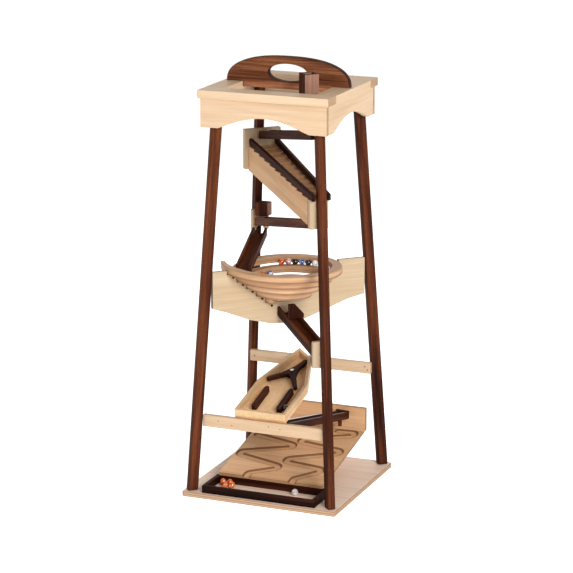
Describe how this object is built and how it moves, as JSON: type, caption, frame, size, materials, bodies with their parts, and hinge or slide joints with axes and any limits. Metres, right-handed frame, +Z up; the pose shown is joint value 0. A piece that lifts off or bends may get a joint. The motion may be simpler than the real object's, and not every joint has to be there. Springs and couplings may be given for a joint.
{
  "type": "marble run",
  "caption": "Wooden marble run tower: handled top frame on four splayed legs, with channels, stair, spiral, toggle tray and zigzag board above a square base",
  "frame": {"origin": "middle of the underside of the base board", "axes": "+Z up; -Y is the front, with the collecting tray along it; +X is to the right seen from the front"},
  "size_m": [0.4, 0.4, 1.067],
  "materials": {
    "maple": "satin, clear oiled",
    "birch": "satin plywood",
    "beech": "satin",
    "walnut": "satin, oiled, with visible grain",
    "screw": "brushed",
    "glass_amber": "polished",
    "glass_rose": "polished",
    "glass_black": "polished",
    "glass_blue": "polished",
    "glass_white": "polished"
  },
  "bodies": {
    "tower": {"apron_back": "maple", "apron_front": "maple", "apron_left": "maple", "apron_right": "maple", "base_board": "birch", "carry_handle": "walnut", "collecting_frame": "walnut", "corner_collar": "walnut", "corner_plate": "maple", "divider_left": "walnut", "divider_right": "walnut", "drop_block": "walnut", "exit_channel_left": "walnut", "exit_channel_right": "walnut", "leg_back_left": "walnut", "leg_back_right": "walnut", "leg_front_left": "walnut", "leg_front_right": "walnut", "lower_channel": "walnut", "lower_end_plate": "maple", "return_channel": "walnut", "rim_back": "maple", "rim_front": "maple", "rim_left": "maple", "rim_right": "maple", "spiral_backstop": "walnut", "spiral_chute": "walnut", "spiral_cross_board": "maple", "spiral_track": "beech", "stair_back_plate": "maple", "stair_block": "maple", "stair_end_plate": "maple", "stair_rail_far": "walnut", "stair_rail_near": "walnut", "stretcher_back": "maple", "stretcher_front": "maple", "toggle_screw": "screw", "transfer_channel": "walnut", "tray_floor": "maple", "tray_walls": "maple", "upper_channel": "walnut", "zigzag_board": "birch", "zigzag_fence": "birch", "zigzag_prop": "maple"},
    "toggle": {"toggle": "walnut"},
    "marble_row_1": {"marble_row_1": "glass_white"},
    "marble_row_2": {"marble_row_2": "glass_black"},
    "marble_row_3": {"marble_row_3": "glass_blue"},
    "marble_row_4": {"marble_row_4": "glass_black"},
    "marble_row_5": {"marble_row_5": "glass_rose"},
    "marble_row_6": {"marble_row_6": "glass_amber"},
    "marble_spiral_1": {"marble_spiral_1": "glass_rose"},
    "marble_spiral_2": {"marble_spiral_2": "glass_blue"},
    "marble_spiral_3": {"marble_spiral_3": "glass_amber"},
    "marble_tray": {"marble_tray": "glass_black"},
    "marble_catch_1": {"marble_catch_1": "glass_amber"},
    "marble_catch_2": {"marble_catch_2": "glass_amber"},
    "marble_catch_3": {"marble_catch_3": "glass_amber"},
    "marble_catch_4": {"marble_catch_4": "glass_amber"},
    "marble_catch_5": {"marble_catch_5": "glass_white"}
  },
  "joints": [
    {"name": "toggle_swing", "type": "hinge", "parent": "tower", "child": "toggle", "pos_m": [-0.0105, 0.04904, 0.26849], "axis": [0, -0.2334, 0.9724], "range_deg": [0, 12]},
    {"name": "catch_1_lift", "type": "slide", "parent": "tower", "child": "marble_catch_1", "axis": [0, 0, 1], "range_m": [0, 0.06]},
    {"name": "catch_2_lift", "type": "slide", "parent": "tower", "child": "marble_catch_2", "axis": [0, 0, 1], "range_m": [0, 0.06]},
    {"name": "catch_3_lift", "type": "slide", "parent": "tower", "child": "marble_catch_3", "axis": [0, 0, 1], "range_m": [0, 0.06]},
    {"name": "catch_4_lift", "type": "slide", "parent": "tower", "child": "marble_catch_4", "axis": [0, 0, 1], "range_m": [0, 0.06]},
    {"name": "catch_5_lift", "type": "slide", "parent": "tower", "child": "marble_catch_5", "axis": [0, 0, 1], "range_m": [0, 0.06]},
    {"name": "row_1_roll", "type": "hinge", "parent": "tower", "child": "marble_row_1", "pos_m": [-0.0102, -0.0042, 0.53], "axis": [0, 0, 1], "range_deg": [0, 5]},
    {"name": "row_2_roll", "type": "hinge", "parent": "tower", "child": "marble_row_2", "pos_m": [-0.0102, -0.0042, 0.53], "axis": [0, 0, 1], "range_deg": [0, 5]},
    {"name": "row_3_roll", "type": "hinge", "parent": "tower", "child": "marble_row_3", "pos_m": [-0.0102, -0.0042, 0.53], "axis": [0, 0, 1], "range_deg": [0, 5]},
    {"name": "row_4_roll", "type": "hinge", "parent": "tower", "child": "marble_row_4", "pos_m": [-0.0102, -0.0042, 0.53], "axis": [0, 0, 1], "range_deg": [0, 5]},
    {"name": "row_5_roll", "type": "hinge", "parent": "tower", "child": "marble_row_5", "pos_m": [-0.0102, -0.0042, 0.53], "axis": [0, 0, 1], "range_deg": [0, 5]},
    {"name": "row_6_roll", "type": "hinge", "parent": "tower", "child": "marble_row_6", "pos_m": [-0.0102, -0.0042, 0.53], "axis": [0, 0, 1], "range_deg": [0, 5]},
    {"name": "spiral_1_roll", "type": "hinge", "parent": "tower", "child": "marble_spiral_1", "pos_m": [-0.0102, -0.0042, 0.53], "axis": [0, 0, 1], "range_deg": [0, 5]},
    {"name": "spiral_2_roll", "type": "hinge", "parent": "tower", "child": "marble_spiral_2", "pos_m": [-0.0102, -0.0042, 0.53], "axis": [0, 0, 1], "range_deg": [0, 5]},
    {"name": "spiral_3_roll", "type": "hinge", "parent": "tower", "child": "marble_spiral_3", "pos_m": [-0.0102, -0.0042, 0.53], "axis": [0, 0, 1], "range_deg": [0, 5]},
    {"name": "tray_roll", "type": "slide", "parent": "tower", "child": "marble_tray", "axis": [0, 0.9724, 0.2334], "range_m": [0, 0.08]}
  ],
  "couplings": [
    {"joint": "row_2_roll", "follows": "row_1_roll", "ratio": 1},
    {"joint": "row_3_roll", "follows": "row_1_roll", "ratio": 1},
    {"joint": "row_4_roll", "follows": "row_1_roll", "ratio": 1},
    {"joint": "row_5_roll", "follows": "row_1_roll", "ratio": 1},
    {"joint": "row_6_roll", "follows": "row_1_roll", "ratio": 1},
    {"joint": "spiral_3_roll", "follows": "spiral_2_roll", "ratio": 1}
  ]
}
